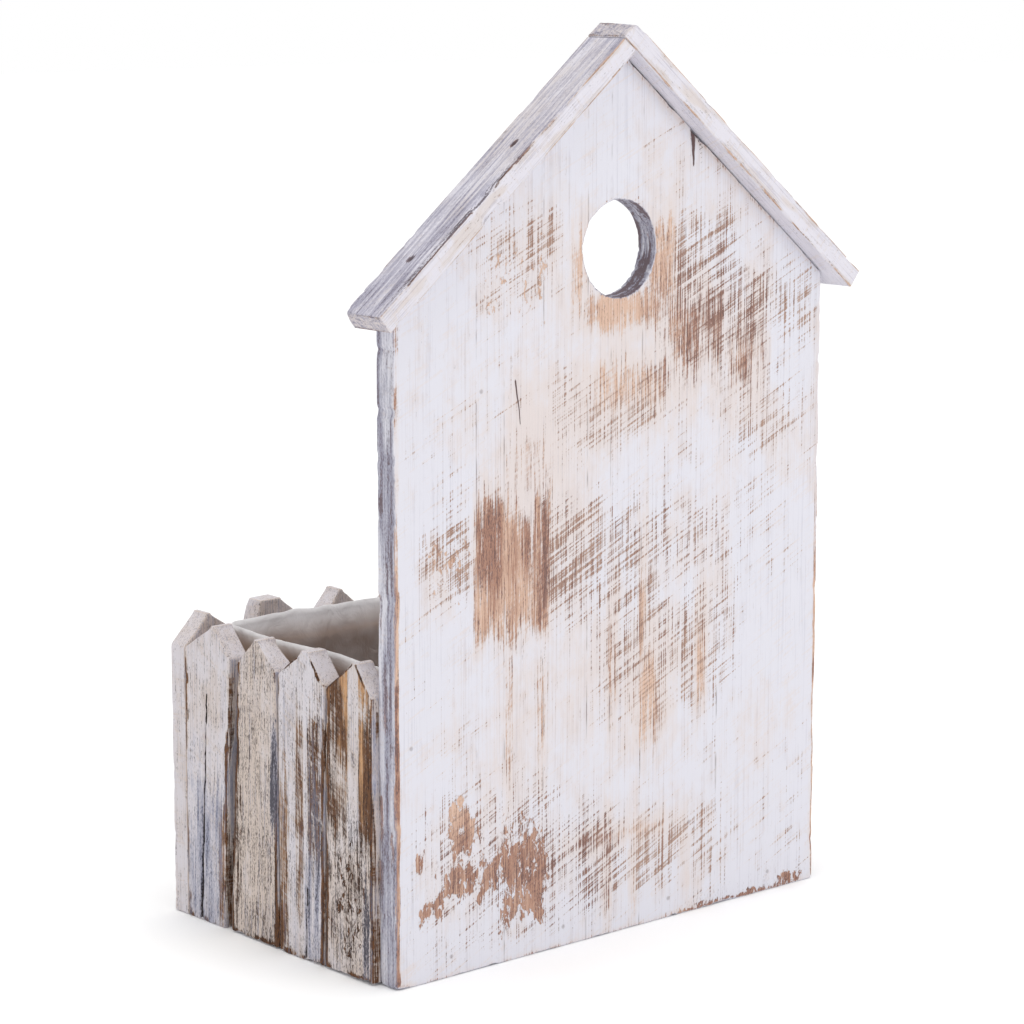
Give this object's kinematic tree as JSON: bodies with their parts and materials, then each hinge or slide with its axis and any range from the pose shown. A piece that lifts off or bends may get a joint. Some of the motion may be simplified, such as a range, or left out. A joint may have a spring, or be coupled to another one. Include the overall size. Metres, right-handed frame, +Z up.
{
  "type": "birdhouse planter",
  "caption": "Wooden planter shaped like a birdhouse: gabled back panel with a round hole, lapped two-board roof, and a film-lined box of pointed fence pickets.",
  "frame": {"origin": "on the ground under the middle of the object's bounding box", "axes": "+Z up, -Y out of the picket fence's front, +Y out of the back panel's back face, +X to the right as seen from the fence's front"},
  "size_m": [0.2664, 0.1574, 0.3804],
  "materials": {
    "whitewashed_panel": "worn whitewash",
    "weathered_roof": "worn grey wash",
    "weathered_picket": "worn whitewash",
    "bare_pine": "raw sawn",
    "film": "milky translucent film",
    "brad_steel": "dull wire",
    "staple_steel": "bright wire"
  },
  "bodies": {
    "root": {"back_panel": "whitewashed_panel", "roof_board_left": "weathered_roof", "roof_board_right": "weathered_roof", "base_board": "bare_pine", "front_rail": "bare_pine", "left_rail": "bare_pine", "right_rail": "bare_pine", "liner": "film", "front_picket_1": "weathered_picket", "front_picket_2": "weathered_picket", "front_picket_3": "weathered_picket", "front_picket_4": "weathered_picket", "front_picket_5": "weathered_picket", "front_picket_6": "weathered_picket", "front_picket_7": "weathered_picket", "left_picket_1": "weathered_picket", "left_picket_2": "weathered_picket", "left_picket_3": "weathered_picket", "left_picket_4": "weathered_picket", "right_picket_1": "weathered_picket", "right_picket_2": "weathered_picket", "right_picket_3": "weathered_picket", "right_picket_4": "weathered_picket", "roof_brads": "brad_steel", "ridge_brads": "brad_steel", "panel_brads": "brad_steel", "front_picket_brads": "brad_steel", "left_picket_brads": "brad_steel", "right_picket_brads": "brad_steel", "liner_staples": "staple_steel"}
  },
  "joints": []
}
